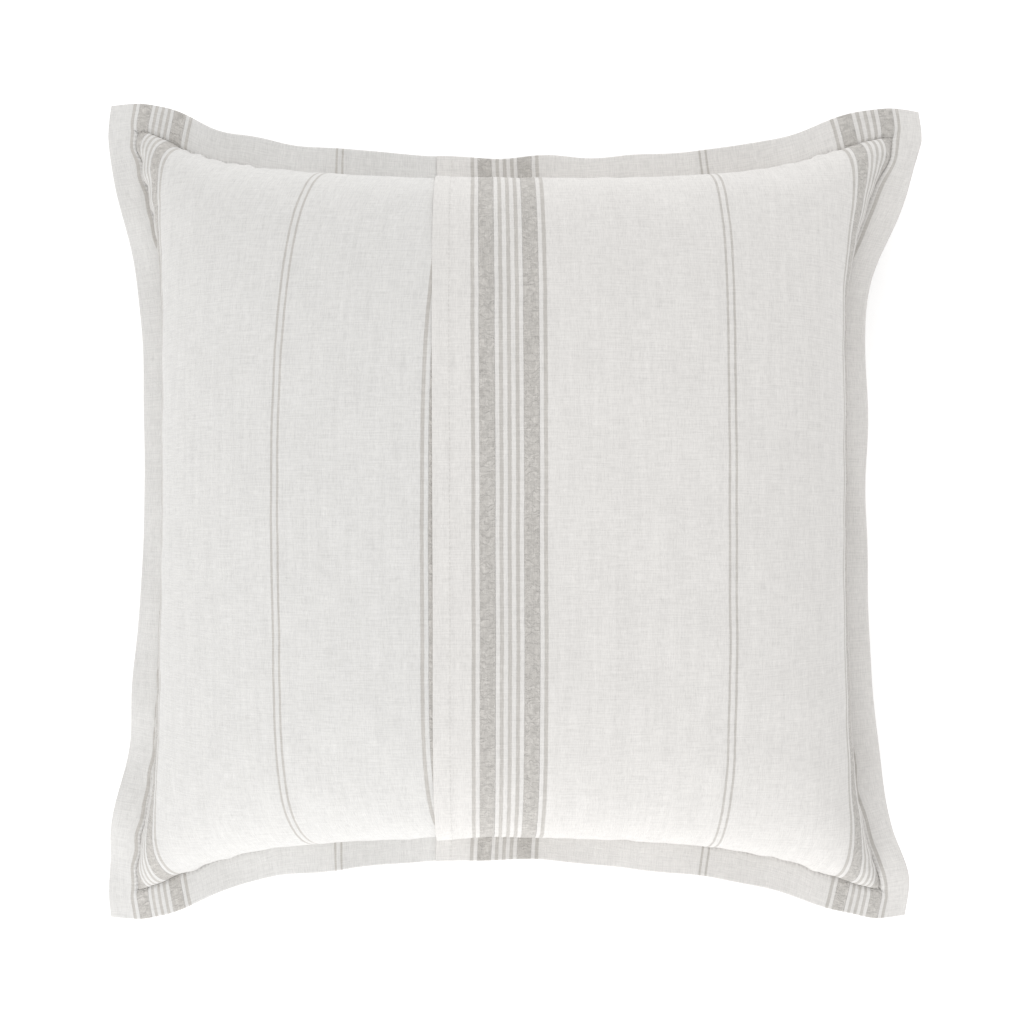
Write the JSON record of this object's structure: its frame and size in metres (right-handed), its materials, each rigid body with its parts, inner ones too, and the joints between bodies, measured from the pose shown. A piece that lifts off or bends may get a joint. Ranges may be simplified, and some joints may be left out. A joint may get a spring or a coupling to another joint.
{
  "type": "throw pillow",
  "caption": "Square flanged linen pillow with grain-sack stripes, an overlapping envelope opening on its front and a filled insert.",
  "frame": {"origin": "middle of the surface that the pillow rests on, under the centre of its outline", "axes": "+Z out of the front face, with the pillow lying on its back; Y along the stripes; +X across the stripes, from the lower front panel towards the upper one"},
  "size_m": [0.648, 0.648, 0.1682],
  "materials": {
    "linen": "matt woven linen, pale ivory with taupe stripes",
    "ticking": "matt downproof cotton",
    "filling": "matt loose fibre filling",
    "thread": "matt spun sewing thread",
    "label": "satin woven ribbon, blank"
  },
  "bodies": {
    "pillow": {"back_panel": "linen", "front_under_panel": "linen", "front_over_panel": "linen", "flange_topstitch": "thread", "flange_bobbin_stitch": "thread", "edge_seam_stitch": "thread", "under_hem_stitch": "thread", "care_label": "label", "insert_casing_top": "ticking", "insert_casing_bottom": "ticking", "insert_seam_stitch": "thread", "insert_fill": "filling"},
    "flap": {"front_over_flap": "linen", "flap_hem_stitch": "thread"}
  },
  "joints": [
    {"name": "flap_lift", "type": "hinge", "parent": "pillow", "child": "flap", "pos_m": [0.05, 0, 0.1672], "axis": [0, 1, 0], "range_deg": [0, 25]}
  ]
}
